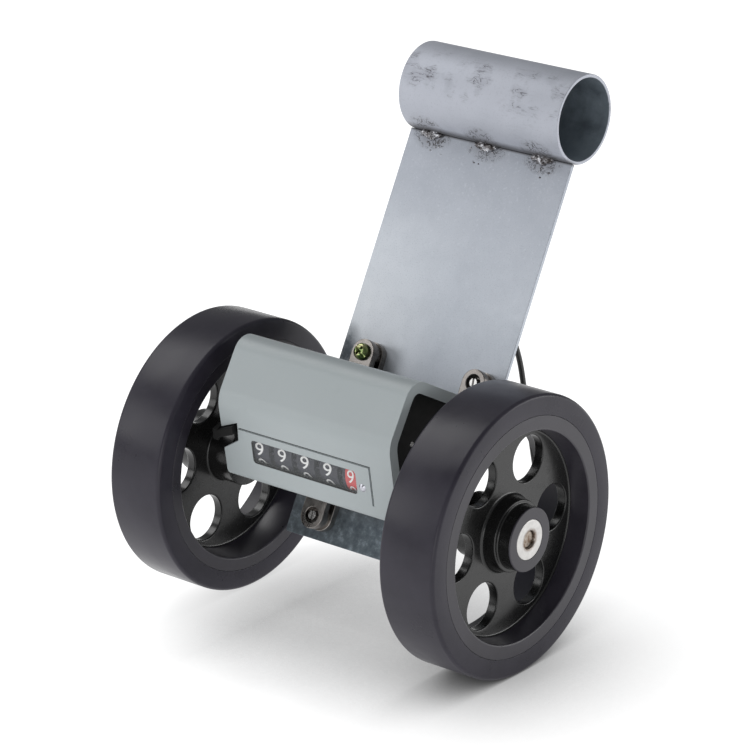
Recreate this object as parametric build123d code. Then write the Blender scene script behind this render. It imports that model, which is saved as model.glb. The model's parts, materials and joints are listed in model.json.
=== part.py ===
from build123d import *
import math
import os

# Rolling-wheel length counter on a tube bracket.
# Everything is drawn in the bracket's own frame and leaned back at the end:
#   x  along the axle, left to right
#   n  square to the bracket plate, towards its back
#   u  up the bracket plate
# The axle's centre is (0, 0, 0) in that frame. Millimetres.

# ---------------------------------------------------------------- dimensions
LEAN = 28.28            # the bracket leans back from vertical, degrees

WHEEL_R = 47.75         # 300 mm circumference: three tenths of a metre a turn
TYRE_SEAT_R = 40.7
RIM_BORE_R = 35.8
WHEEL_IN = 46.7         # inner and outer faces of a wheel, from the centre
WHEEL_OUT = 68.6
WEB_IN, WEB_OUT = 57.6, 61.2
LIGHT_HOLE_R, LIGHT_PCR, LIGHT_N = 8.0, 25.0, 6
HUB_R, HUB_COLLAR_R = 10.85, 13.0
HUB_IN, HUB_COLLAR_OUT, HUB_OUT = 48.0, 66.0, 71.0
INSERT_R, INSERT_LEN = 6.85, 5.0
AXLE_R, AXLE_END = 3.0, 70.1

PLATE_W, PLATE_T = 68.2, 1.5
PLATE_N0 = 13.6         # plate front face
PLATE_U0, PLATE_U1 = -21.0, 123.5
TUBE_OD, TUBE_ID, TUBE_L = 30.7, 28.3, 66.8
TUBE_N, TUBE_U = 13.6, 138.9

HX0, HX1 = -36.1, 36.5  # housing ends
WALL, RIM_WALL = 2.2, 3.9           # the open right end has a thicker rim
H_TOP, H_BOT = 38.1, -7.9
H_CORNER = (-40.1, H_TOP)
H_BEND = (-41.3, 14.3)
H_FOOT = (-24.0, H_BOT)
CORNER_R, BEND_R, FOOT_R = 7.0, 10.0, 3.0
WIN_X0, WIN_X1, WIN_S0, WIN_S1, WIN_R = -23.6, 20.7, 12.8, 21.4, 1.2
LENS_D = (0.12, 0.62)
# the reset notch slants: (x, s) corners on the window face
NOTCH = [(-37.5, 11.4), (-28.8, 7.73), (-29.3, 14.5), (-37.5, 19.73)]
TAB_X1, TAB_S, TAB_SLOPE, TAB_H = -29.6, 8.5, -0.422, 3.0
GROOVE_S, GROOVE_X, GROOVE_S1, GROOVE_W, GROOVE_D = 9.4, 27.3, 24.1, 0.7, 0.5
PIN_X, PIN_S = 23.15, 18.25

EAR_N0, EAR_T = 5.6, 2.6          # front ears of the counter's base plate
STRAP_T = 2.7
EAR_HOLE_R = 2.7
EAR_R = 4.6
BOLT_X = (-19.5, 27.5)
BOLT_U = (-13.3, 44.3)
BOLT_HOLE_R, BOLT_R = 1.65, 1.5

DRUM_R, DRUM_S, DRUM_DEPTH = 9.5, 17.5, 10.7
DIGIT_X0, DRUM_PITCH = -21.45, 9.71
RED_X = (-2.3, 2.2)               # the red band, about the tenths numerals
SHAFT_R, RUN = 1.25, 0.05          # small shafts, running clearance
CARRY_R, CARRY_HUB_R = 0.9, 1.4    # carry shaft and the pinions' sleeves, clear of the drums
MOD_DRIVE, MOD_CARRY, PRESSURE = 0.6, 0.8, 25.0
Z_AXLE, Z_IDLER, Z_IDLER_PINION, Z_TENTHS = 15, 30, 18, 30
Z_RING, Z_CARRY = 20, 8

RESET_N, RESET_U, RESET_R = -12.0, 27.0, 1.5
WIRE_R = 1.0
STAND_N, STAND_U = 16.35, 72.0
STAND_X0, STAND_X1 = -12.0, 20.0
FOOT_BACK = 80.0                   # foot bar behind the axle, on the ground

# ---------------------------------------------------------------- helpers
c_, s_ = math.cos(math.radians(LEAN)), math.sin(math.radians(LEAN))
Y_MIN = -WHEEL_R
Y_MAX = TUBE_N * c_ + TUBE_U * s_ + TUBE_OD / 2
Y_MID = (Y_MIN + Y_MAX) / 2


def to_row(shape):
    """Lean the bracket frame back and stand it on the ground, centred."""
    return Pos(0, -Y_MID, WHEEL_R) * Rot(-LEAN, 0, 0) * shape


def section(points):
    return make_face(Polyline(*points, close=True))


def prism(face, x0, x1):
    """A face drawn in (n, u), as a prism from x0 to x1 along the axle."""
    return extrude(Plane.YZ.offset(x0) * face, amount=x1 - x0)


def disc(n, u, r, x0, x1, bore=0.0):
    f = Pos(n, u) * Circle(r)
    if bore:
        f -= Pos(n, u) * Circle(bore)
    return prism(f, x0, x1)


def ncyl(x, u, r, n0, n1, bore=0.0):
    """A cylinder square to the plate, from n0 to n1."""
    f = Circle(r)
    if bore:
        f -= Circle(bore)
    pl = Plane(origin=(x, n0, u), x_dir=(1, 0, 0), z_dir=(0, 1, 0))
    return extrude(pl * f, amount=n1 - n0)


def nplate(face, n0, n1):
    """A face drawn in (x, u), as a sheet from n0 to n1."""
    pl = Plane(origin=(0, n1, 0), x_dir=(1, 0, 0), z_dir=(0, -1, 0))
    return extrude(pl * face, amount=n1 - n0)


def box(x0, x1, n0, n1, u0, u1):
    return Pos((x0 + x1) / 2, (n0 + n1) / 2, (u0 + u1) / 2) * Box(x1 - x0, n1 - n0, u1 - u0)


def turned(points):
    """A solid of revolution about the axle from (x, r) points."""
    return revolve(Plane.XY * section(points), Axis.X)


def gear(teeth, mod, n, u, x0, x1, tooth_at, bore, backlash=0.10):
    """Spur gear about (n, u) with a tooth centred on the angle tooth_at."""
    rp = mod * teeth / 2
    pa = math.radians(PRESSURE)
    rb = rp * math.cos(pa)
    ra, rf = rp + 0.8 * mod, rp - 1.05 * mod
    inv = math.tan(pa) - pa
    half = (math.pi * mod / 2 - backlash) / (2 * rp)

    def flank(r):
        if r <= rb:
            return half + inv
        a = math.acos(rb / r)
        return half + inv - (math.tan(a) - a)

    r0 = max(rb, rf)
    radii = [rf] + [r0 + (ra - r0) * k / 3 for k in range(4)]
    pts = []
    for k in range(teeth):
        mid = math.radians(tooth_at) + 2 * math.pi * k / teeth
        side = [(r, flank(r)) for r in radii]
        if rf >= rb:
            side = side[1:]
        for r, a in side:
            pts.append((n + r * math.cos(mid - a), u + r * math.sin(mid - a)))
        for r, a in reversed(side):
            pts.append((n + r * math.cos(mid + a), u + r * math.sin(mid + a)))
    f = section(pts)
    if bore:
        f -= Pos(n, u) * Circle(bore)
    return prism(f, x0, x1)


# The window face: s runs down it from the bend, d goes into the housing.
_len = math.hypot(H_FOOT[0] - H_BEND[0], H_FOOT[1] - H_BEND[1])
FT = ((H_FOOT[0] - H_BEND[0]) / _len, (H_FOOT[1] - H_BEND[1]) / _len)
FI = (-FT[1], FT[0])                # inward normal


def on_face(s, d):
    return (H_BEND[0] + s * FT[0] + d * FI[0], H_BEND[1] + s * FT[1] + d * FI[1])


def face_block(x0, x1, s0, s1, d0, d1):
    return prism(section([on_face(s0, d0), on_face(s1, d0), on_face(s1, d1), on_face(s0, d1)]), x0, x1)


def face_shape(face, x, s, d0, d1):
    """A face drawn in (x, s) about a point of the window face, sunk from d0 to d1."""
    n, u = on_face(s, d0)
    pl = Plane(origin=(x, n, u), x_dir=(1, 0, 0), z_dir=(0, FI[0], FI[1]))
    return extrude(pl * face, amount=d1 - d0)


def face_cyl(x, s, r, d0, d1):
    return face_shape(Circle(r), x, s, d0, d1)


parts = {}

# ---------------------------------------------------------------- wheels
for side, sign in (("right", 1), ("left", -1)):
    def X(v):
        return sign * v

    e = 0.45
    rim = turned([
        (X(HUB_IN), AXLE_R), (X(HUB_IN), HUB_R - 0.6), (X(HUB_IN + 0.6), HUB_R), (X(WEB_IN), HUB_R),
        (X(WEB_IN), RIM_BORE_R - 0.5), (X(WHEEL_IN + 0.8), RIM_BORE_R + 0.3),
        (X(WHEEL_IN), RIM_BORE_R + 1.0), (X(WHEEL_IN), TYRE_SEAT_R - e), (X(WHEEL_IN + e), TYRE_SEAT_R),
        (X(WHEEL_OUT - e), TYRE_SEAT_R), (X(WHEEL_OUT), TYRE_SEAT_R - e), (X(WHEEL_OUT), RIM_BORE_R + 0.9),
        (X(WHEEL_OUT - 0.9), RIM_BORE_R), (X(WEB_OUT), RIM_BORE_R - 0.6),
        (X(WEB_OUT), HUB_COLLAR_R), (X(HUB_COLLAR_OUT - 0.7), HUB_COLLAR_R - 0.5),
        (X(HUB_COLLAR_OUT), HUB_COLLAR_R - 1.1), (X(HUB_COLLAR_OUT), HUB_R),
        (X(HUB_OUT - 0.5), HUB_R), (X(HUB_OUT), HUB_R - 0.5), (X(HUB_OUT), INSERT_R),
        (X(HUB_OUT - INSERT_LEN), INSERT_R), (X(HUB_OUT - INSERT_LEN), AXLE_R)])
    for k in range(LIGHT_N):
        a = math.radians(90 + k * 360 / LIGHT_N)
        n, u = LIGHT_PCR * math.cos(a), LIGHT_PCR * math.sin(a)
        x0, x1 = sorted((X(WEB_IN - 1), X(WEB_OUT + 1)))
        rim -= disc(n, u, LIGHT_HOLE_R, x0, x1)
    # radial set-screw hole in the inner half of the hub
    gx = X(52.5)
    rim -= Pos(gx, 0, 7.0) * Cylinder(2.0, 9.0)
    parts[side + "_wheel_rim"] = rim

    r, b = WHEEL_R, 1.3
    prof = [(X(WHEEL_IN), TYRE_SEAT_R + 0.5), (X(WHEEL_IN), r - b)]
    for k in range(1, 5):
        a = math.radians(90 * k / 4)
        prof.append((X(WHEEL_IN + b - b * math.cos(a)), r - b + b * math.sin(a)))
    for k in range(0, 4):
        a = math.radians(90 - 90 * k / 4)
        prof.append((X(WHEEL_OUT - b + b * math.cos(a)), r - b + b * math.sin(a)))
    prof += [(X(WHEEL_OUT), r - b), (X(WHEEL_OUT), TYRE_SEAT_R + 0.5), (X(WHEEL_OUT - 0.5), TYRE_SEAT_R),
             (X(WHEEL_IN + 0.5), TYRE_SEAT_R)]
    parts[side + "_tyre"] = turned(prof)

    parts[side + "_hub_insert"] = turned([
        (X(HUB_OUT - INSERT_LEN), AXLE_R), (X(HUB_OUT - INSERT_LEN), INSERT_R), (X(HUB_OUT - 0.25), INSERT_R),
        (X(HUB_OUT), INSERT_R - 0.25), (X(HUB_OUT), AXLE_R + 0.35), (X(HUB_OUT - 0.35), AXLE_R)])

# axle, with chamfered ends
parts["axle_shaft"] = turned([(-AXLE_END, 0), (-AXLE_END, AXLE_R - 0.5), (-AXLE_END + 0.5, AXLE_R),
                              (AXLE_END - 0.5, AXLE_R), (AXLE_END, AXLE_R - 0.5), (AXLE_END, 0)])

# set screws bear on the axle
grubs = []
for gx in (-52.5, 52.5):
    g = Pos(gx, 0, AXLE_R + 2.5) * Cylinder(2.0, 5.0)
    g -= Pos(gx, 0, AXLE_R + 4.2) * extrude(RegularPolygon(1.0, 6), amount=2.0)
    g -= Pos(gx, 0, 0) * Rot(0, 90, 0) * Cylinder(AXLE_R, 8)
    grubs.append(g)
parts["hub_set_screws"] = Compound(children=[s for g in grubs for s in g.solids()])

# distance tubes between the hubs and the bearings
L_PLATE = (HX0 + 0.1, HX0 + 2.1)
R_PLATE = (29.0, 31.0)
parts["left_axle_spacer"] = disc(0, 0, 5.0, -HUB_IN, L_PLATE[0] - 1.3, AXLE_R)
parts["right_axle_spacer"] = disc(0, 0, 5.0, R_PLATE[1] + 1.3, HUB_IN, AXLE_R)

# ---------------------------------------------------------------- bracket
rivets_at = [(x, STAND_U + du) for x in (-7.05, 15.05) for du in (-4.9, 4.9)]
sheet = box(-PLATE_W / 2, PLATE_W / 2, PLATE_N0, PLATE_N0 + PLATE_T, PLATE_U0, PLATE_U1)
for x in BOLT_X:
    for u in BOLT_U:
        sheet -= ncyl(x, u, BOLT_HOLE_R, PLATE_N0 - 1, PLATE_N0 + 3)
for x, u in rivets_at:
    sheet -= ncyl(x, u, 1.2, PLATE_N0 + 0.6, PLATE_N0 + 3)
parts["bracket_plate"] = sheet

tube = disc(TUBE_N, TUBE_U, TUBE_OD / 2, -TUBE_L / 2, TUBE_L / 2, TUBE_ID / 2)
parts["support_tube"] = tube

beads = []
for x, spread in ((-25.0, 3.2), (-1.5, 3.6), (22.0, 3.4)):
    b = Pos(x, PLATE_N0 - 0.1, PLATE_U1 - 0.3) * Sphere(2.0)
    for dx, du, r in ((-0.5, 0.25, 1.7), (0.5, 0.1, 1.8), (-1.0, -0.2, 1.3), (1.0, 0.35, 1.4)):
        b += Pos(x + dx * spread, PLATE_N0 - 0.15, PLATE_U1 - 0.3 + du) * Sphere(r)
    b -= box(x - 9, x + 9, PLATE_N0, PLATE_N0 + 6, PLATE_U1 - 9, PLATE_U1 + 9)
    b -= disc(TUBE_N, TUBE_U, TUBE_OD / 2, x - 9, x + 9)
    beads += b.solids()
parts["weld_beads"] = Compound(children=beads)

GX_DRUM = (20.0, 22.0)             # gears on the tenths drum and the idler, along the axle
GX_IDL = (22.6, 24.8)


# ---------------------------------------------------------------- housing
def outline(grow, back):
    pts = [(back, H_TOP), H_CORNER, H_BEND, H_FOOT, (back, H_BOT)]
    f = section(pts)
    vs = f.vertices()

    def near(p):
        return min(vs, key=lambda v: math.hypot(v.X - p[0], v.Y - p[1]))
    f = fillet([near(H_CORNER)], CORNER_R)
    vs = f.vertices()
    f = fillet([near(H_BEND)], BEND_R)
    vs = f.vertices()
    f = fillet([near(H_FOOT)], FOOT_R)
    if grow:
        f = offset(f, grow)
    return f


BACK = EAR_N0
DN, DU = on_face(DRUM_S, DRUM_DEPTH)
clip_back = box(HX0 - 9, HX1 + 9, BACK, 60, -40, 80)
shell = prism(outline(0, 30) - outline(-WALL, 30), HX0, HX1) - clip_back
shell += prism(outline(-1.0, 30) - outline(-RIM_WALL, 30), R_PLATE[1] + 0.5, HX1) - clip_back
shell -= disc(0, 0, 6.2, R_PLATE[1], HX1 + 1)
# pocket for the drums behind the window
pocket = disc(DN, DU, DRUM_R + 0.4, DIGIT_X0 - 4.0, GX_DRUM[1] + 0.3)
shell -= pocket
window = RectangleRounded(WIN_X1 - WIN_X0, WIN_S1 - WIN_S0, WIN_R)
WIN_C = ((WIN_X0 + WIN_X1) / 2, (WIN_S0 + WIN_S1) / 2)
shell -= face_shape(window, *WIN_C, -3, WALL + 3)
shell -= face_shape(section(NOTCH), 0, 0, -3, WALL + 3)
# moulded outline of the window panel: a fine groove along its top and right side
shell -= face_block(-28.6, GROOVE_X, GROOVE_S, GROOVE_S + GROOVE_W, -1, GROOVE_D)
shell -= face_block(GROOVE_X - GROOVE_W, GROOVE_X, GROOVE_S, GROOVE_S1, -1, GROOVE_D)
shell -= face_cyl(PIN_X, PIN_S, 0.7, -1, WALL + 1)
parts["housing"] = shell

parts["window_lens"] = face_shape(window, *WIN_C, *LENS_D)

pin = face_cyl(PIN_X, PIN_S, 0.7, 0, WALL + 0.2)
dome = face_cyl(PIN_X, PIN_S, 1.45, -0.55, 0)
dome = fillet(dome.edges().filter_by(GeomType.CIRCLE).sort_by(
    lambda ed: (ed.center().Y - H_BEND[0]) * FI[0] + (ed.center().Z - H_BEND[1]) * FI[1])[0:1], 0.45)
parts["panel_pin"] = pin + dome

# shaft positions
CD1 = MOD_DRIVE * (Z_AXLE + Z_IDLER) / 2
CD2 = MOD_DRIVE * (Z_IDLER_PINION + Z_TENTHS) / 2
_d = math.hypot(DN, DU)
_a = (CD1 ** 2 - CD2 ** 2 + _d ** 2) / (2 * _d)
_h = math.sqrt(CD1 ** 2 - _a ** 2)
_e = (DN / _d, DU / _d)
IN, IU = _a * _e[0] + _h * _e[1], _a * _e[1] - _h * _e[0]
CD3 = MOD_CARRY * (Z_RING + Z_CARRY) / 2
PN, PU = DN, DU + CD3
print("drum axis", round(DN, 4), round(DU, 4), "idler axis", round(IN, 4), round(IU, 4),
      "carry axis", round(PN, 4), round(PU, 4))

# end plates carry every shaft; holes give the fixed shafts an exact seat
def seats(plate, x0, x1, bush_r):
    plate -= disc(0, 0, bush_r, x0 - 1, x1 + 1)
    for n, u, r in ((DN, DU, SHAFT_R), (IN, IU, SHAFT_R), (PN, PU, CARRY_R), (RESET_N, RESET_U, RESET_R + RUN)):
        plate -= disc(n, u, r, x0 - 1, x1 + 1)
    return plate


left = prism(outline(-WALL - 0.03, 30), *L_PLATE) - clip_back
left -= face_block(L_PLATE[0] - 1, L_PLATE[1] + 1, 7.0, 20.3, -3, WALL + 3)
parts["left_end_plate"] = seats(left, *L_PLATE, 4.5)
right = prism(outline(-WALL - 0.03, 30), *R_PLATE) - clip_back
parts["right_end_plate"] = seats(right, *R_PLATE, 4.5)

BR = AXLE_R + RUN
parts["left_bearing"] = disc(0, 0, 4.5, L_PLATE[0], L_PLATE[1], BR) + disc(0, 0, 5.6, L_PLATE[0] - 1.0, L_PLATE[0], BR)
parts["right_bearing"] = disc(0, 0, 4.5, R_PLATE[0], R_PLATE[1], BR) + disc(0, 0, 5.6, R_PLATE[1], R_PLATE[1] + 1.0, BR)

# base plate with four round ears, and the two straps behind it
def ear_face(x, u, towards):
    w = Pos(x, (u + towards) / 2) * Rectangle(2 * EAR_R, abs(towards - u))
    return w + Pos(x, u) * Circle(EAR_R)


base = Pos((HX0 + R_PLATE[1]) / 2, (H_TOP + H_BOT) / 2) * Rectangle(R_PLATE[1] - HX0, H_TOP - H_BOT - 0.6)
for x in BOLT_X:
    for u, t in ((BOLT_U[0], 0), (BOLT_U[1], 30)):
        base = base + ear_face(x, u, t)
for x in BOLT_X:
    for u in BOLT_U:
        base = base - Pos(x, u) * Circle(EAR_HOLE_R)
parts["base_plate"] = nplate(base, EAR_N0, EAR_N0 + EAR_T)

strap_n0 = PLATE_N0 - STRAP_T
straps = []
for x in BOLT_X:
    f = ear_face(x, BOLT_U[0], 15) + ear_face(x, BOLT_U[1], 15)
    for u in BOLT_U:
        f = f - Pos(x, u) * Circle(BOLT_HOLE_R)
    straps += nplate(f, strap_n0, PLATE_N0).solids()
parts["rear_straps"] = Compound(children=straps)

parts["spacer_sleeves"] = Compound(children=[
    s for x in BOLT_X for u in BOLT_U for s in ncyl(x, u, 3.9, EAR_N0 + EAR_T, strap_n0, BOLT_HOLE_R).solids()])

# ---------------------------------------------------------------- fasteners
PX, PU4 = BOLT_X[0], BOLT_U[1]
PLATE_N1 = PLATE_N0 + PLATE_T
head = ncyl(PX, PU4, 2.9, EAR_N0 - 2.2, EAR_N0)
head = fillet(head.edges().filter_by(GeomType.CIRCLE).sort_by(Axis.Y)[0:1], 1.45)
h0 = EAR_N0 - 2.2
head -= Pos(PX, h0 + 0.3, PU4) * Rot(0, 35, 0) * Box(7.6, 1.6, 0.8)
head -= Pos(PX, h0 + 0.3, PU4) * Rot(0, 35, 0) * Box(0.8, 1.6, 3.2)
parts["pan_screw"] = head + ncyl(PX, PU4, BOLT_R, EAR_N0, PLATE_N1 + 4.6)


def washer(x, u, n0, n1):
    return ncyl(x, u, 3.5, n0, n1, BOLT_HOLE_R)


parts["washers"] = Compound(children=[
    s for x in BOLT_X for u in BOLT_U for s in washer(x, u, PLATE_N1, PLATE_N1 + 0.8).solids()])
hexf = RegularPolygon(2.75, 6, major_radius=False) - Circle(BOLT_R)
nut = extrude(Plane(origin=(PX, PLATE_N1 + 0.8, PU4), x_dir=(1, 0, 0), z_dir=(0, 1, 0)) * hexf, amount=2.4)
cone = Pos(PX, PLATE_N1 + 0.8 + 1.2, PU4) * Rot(90, 0, 0) * Cylinder(3.05, 2.4)
parts["hex_nut"] = nut & cone

screws = []
for x in BOLT_X:
    for u in BOLT_U:
        if (x, u) == (PX, PU4):
            continue
        hd = ncyl(x, u, 2.75, PLATE_N1 + 0.8, PLATE_N1 + 2.8)
        hd = fillet(hd.edges().filter_by(GeomType.CIRCLE).sort_by(Axis.Y)[-1:], 1.1)
        hd -= Pos(x, PLATE_N1 + 2.6, u) * Rot(0, 20, 0) * Box(7.0, 1.4, 0.8)
        sc = hd + ncyl(x, u, BOLT_R, EAR_N0 + 0.15, PLATE_N1 + 0.8)
        sc -= Pos(x, EAR_N0 + 0.15, u) * Rot(0, 82, 0) * Box(5.0, 1.5, 0.65)
        screws += sc.solids()
parts["slotted_screws"] = Compound(children=screws)

# ---------------------------------------------------------------- gear train
def bearing_deg(n0, u0, n1, u1):
    return math.degrees(math.atan2(u1 - u0, n1 - n0))


def gap_at(angle, teeth):
    return angle + 180.0 / teeth


a_ai = bearing_deg(0, 0, IN, IU)
a_id = bearing_deg(IN, IU, DN, DU)
parts["axle_gear"] = (gear(Z_AXLE, MOD_DRIVE, 0, 0, GX_IDL[0] - 0.2, GX_IDL[1] + 0.2, a_ai, AXLE_R)
                      + disc(0, 0, 5.0, GX_IDL[1] + 0.2, 28.0, AXLE_R))
idl = gear(Z_IDLER, MOD_DRIVE, IN, IU, *GX_IDL, gap_at(a_ai + 180, Z_IDLER), SHAFT_R + RUN)
idl += gear(Z_IDLER_PINION, MOD_DRIVE, IN, IU, GX_DRUM[0] - 0.2, GX_IDL[0], a_id, SHAFT_R + RUN)
idl += disc(IN, IU, 2.6, GX_IDL[1], R_PLATE[0] - 0.4, SHAFT_R + RUN)
parts["idler_gear"] = idl

L1, R0 = L_PLATE[0], R_PLATE[1]
parts["idler_shaft"] = disc(IN, IU, SHAFT_R, L1, R0)
parts["drum_shaft"] = disc(DN, DU, SHAFT_R, L1, R0)
parts["carry_shaft"] = disc(PN, PU, CARRY_R, L1, R0)

# drums: a thin rim, a web and a hub, with the ring gear on the right
names = ["thousands", "hundreds", "tens", "units"]
for k, name in enumerate(names):
    c = DIGIT_X0 + k * DRUM_PITCH
    x0, x1, xg = c - 3.5, c + 4.1, c + 5.6
    d = disc(DN, DU, DRUM_R, x0, x1, DRUM_R - 1.3)
    d += disc(DN, DU, DRUM_R, x1 - 1.2, x1, SHAFT_R + RUN)
    d += gear(Z_RING, MOD_CARRY, DN, DU, x1, xg, 90, SHAFT_R + RUN)
    d += disc(DN, DU, 2.8, x0 + 0.1, x1, SHAFT_R + RUN)
    parts["drum_" + name] = d
    # carry pinion: meshes with this drum's ring, long enough to reach the next drum
    parts["carry_pinion_" + name] = (
        gear(Z_CARRY, MOD_CARRY, PN, PU, x1 + 0.15, xg, gap_at(-90, Z_CARRY), CARRY_R + RUN)
        + disc(PN, PU, CARRY_HUB_R, xg, c + DRUM_PITCH + 3.9, CARRY_R + RUN))

c = DIGIT_X0 + 4 * DRUM_PITCH
d = disc(DN, DU, DRUM_R, c - 3.5, c + RED_X[0], SHAFT_R + RUN)
d += disc(DN, DU, 6.0, c + RED_X[0], GX_DRUM[0], SHAFT_R + RUN)
d += gear(Z_TENTHS, MOD_DRIVE, DN, DU, *GX_DRUM, gap_at(a_id + 180, Z_TENTHS), SHAFT_R + RUN)
d += disc(DN, DU, 2.8, GX_DRUM[1], R_PLATE[0] - 0.4, SHAFT_R + RUN)
parts["drum_tenths"] = d
parts["tenths_red_band"] = disc(DN, DU, DRUM_R, c + RED_X[0], c + RED_X[1], 6.0)

# spacer on the drum shaft at the left of the stack, circlips on the shafts
parts["drum_spacer"] = disc(DN, DU, 2.6, L_PLATE[1] + 0.05, DIGIT_X0 - 3.5 - 0.15, SHAFT_R)
parts["carry_spacer"] = disc(PN, PU, CARRY_HUB_R, L_PLATE[1] + 0.05, DIGIT_X0 + 4.0, CARRY_R)
parts["idler_spacer"] = disc(IN, IU, 2.6, L_PLATE[1] + 0.05, GX_DRUM[0] - 0.4, SHAFT_R)

# ---------------------------------------------------------------- reset lever
lx0, lx1 = HX0 - 2.6, HX0 - 0.5


def tab_s(x):
    return TAB_S + TAB_SLOPE * (x - TAB_X1)


s_c = tab_s((lx0 + lx1) / 2) + TAB_H / 2
arm = Pos(RESET_N, RESET_U) * Circle(5.0)
arm += section([on_face(s_c - 2.0, -1.9), on_face(s_c + 2.0, -1.9),
                (RESET_N + 3.6 * FT[0], RESET_U + 3.6 * FT[1]), (RESET_N - 3.6 * FT[0], RESET_U - 3.6 * FT[1])])
lever = prism(arm, lx0, lx1)
tab = face_shape(section([(lx0, tab_s(lx0)), (TAB_X1, TAB_S), (TAB_X1, TAB_S + TAB_H), (lx0, tab_s(lx0) + TAB_H)]),
                 0, 0, -1.9, 1.6)
lever += tab
lever -= disc(RESET_N, RESET_U, RESET_R, lx0 - 1, lx1 + 1)
parts["reset_lever"] = lever
parts["reset_shaft"] = disc(RESET_N, RESET_U, RESET_R, lx0, R_PLATE[1] + 0.5)
# fingers on the reset shaft, one to a drum
fing = []
for k in range(5):
    c = DIGIT_X0 + k * DRUM_PITCH - 1.2
    f = Pos(RESET_N, RESET_U) * Circle(3.0) + section(
        [(RESET_N - 1.0, RESET_U + 2.6), (RESET_N + 1.2, RESET_U + 2.6), (RESET_N + 3.0, RESET_U + 7.0),
         (RESET_N + 1.6, RESET_U + 7.4)])
    f = f - Pos(RESET_N, RESET_U) * Circle(RESET_R)
    fing += prism(f, c, c + 1.6).solids()
parts["reset_fingers"] = Compound(children=fing)

# return spring, coiled round the reset shaft
sx0, sx1 = L_PLATE[1] + 0.6, L_PLATE[1] + 6.0
helix = Plane(origin=(sx0, RESET_N, RESET_U), x_dir=(0, 1, 0), z_dir=(1, 0, 0)) * Helix(1.2, sx1 - sx0, 2.5)
start = helix @ 0
tang = helix % 0
parts["reset_spring"] = sweep(Plane(origin=start, z_dir=tang) * Circle(0.28), path=helix)

# ---------------------------------------------------------------- wire stand
# drawn in the upright frame (y back, z up, axle at 0), then leaned into the bracket frame
py = STAND_N * c_ + STAND_U * s_
pz = -STAND_N * s_ + STAND_U * c_
foot_z = -WHEEL_R + WIRE_R
kn = (61.0, 36.5)
route = [(STAND_X0 + 7.6, py, pz), (STAND_X0, py, pz), (STAND_X0, *kn), (STAND_X0, FOOT_BACK, foot_z),
         (STAND_X1, FOOT_BACK, foot_z), (STAND_X1, *kn), (STAND_X1, py, pz), (STAND_X1 - 7.6, py, pz)]
path = FilletPolyline(*route, radius=[3.0, 55.0, 7.0, 7.0, 55.0, 3.0])
wire = sweep(Plane(origin=path @ 0, z_dir=path % 0) * Circle(WIRE_R), path=path)
print("wire stand: length", round(path.length, 2), "volume", round(wire.volume, 2), "expected",
      round(path.length * math.pi * WIRE_R ** 2, 2))
parts["wire_stand"] = Rot(LEAN, 0, 0) * wire

clips, rivets = [], []
CR = WIRE_R + RUN
for x in (-7.05, 15.05):
    ring = Pos(STAND_N, STAND_U) * (Circle(CR + 0.8) - Circle(CR))
    ring = ring & (Pos(STAND_N + 5, STAND_U) * Rectangle(10, 20))
    for sg in (-1, 1):
        ring = ring + Pos((PLATE_N1 + STAND_N) / 2, STAND_U + sg * (CR + 0.4)) * Rectangle(STAND_N - PLATE_N1, 0.8)
        ring = ring + Pos(PLATE_N1 + 0.4, STAND_U + sg * (CR + 0.4 + 6.9) / 2 + sg * 0.2) * Rectangle(0.8, 6.9 - CR - 0.4 + 0.4)
    cl = prism(ring, x - 1.7, x + 1.7)
    for sg in (-1, 1):
        cl -= ncyl(x, STAND_U + sg * 4.9, 1.2, PLATE_N1 - 1, PLATE_N1 + 2)
    clips += cl.solids()
for x, u in rivets_at:
    rv = ncyl(x, u, 1.2, PLATE_N0 + 0.6, PLATE_N1 + 0.8)
    hd = ncyl(x, u, 1.6, PLATE_N1 + 0.8, PLATE_N1 + 1.7)
    hd = fillet(hd.edges().filter_by(GeomType.CIRCLE).sort_by(Axis.Y)[-1:], 0.7)
    rivets += (rv + hd).solids()
parts["stand_clips"] = Compound(children=clips)
parts["clip_rivets"] = Compound(children=rivets)

# ---------------------------------------------------------------- write
os.makedirs("parts", exist_ok=True)
for name, shape in parts.items():
    export_step(to_row(shape), "parts/" + name + ".step")
print(len(parts), "nodes; row offset y", round(Y_MID, 4), "z", WHEEL_R)
for nm, (n, u) in {"tube": (TUBE_N, TUBE_U), "drum": (DN, DU), "idler": (IN, IU), "carry": (PN, PU),
                   "reset": (RESET_N, RESET_U), "stand": (STAND_N, STAND_U), "axle": (0, 0)}.items():
    print(nm, "row y z", round(n * c_ + u * s_ - Y_MID, 5), round(-n * s_ + u * c_ + WHEEL_R, 5))
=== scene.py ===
import bpy, bmesh, json, math
from mathutils import Matrix, Vector, noise

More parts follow.
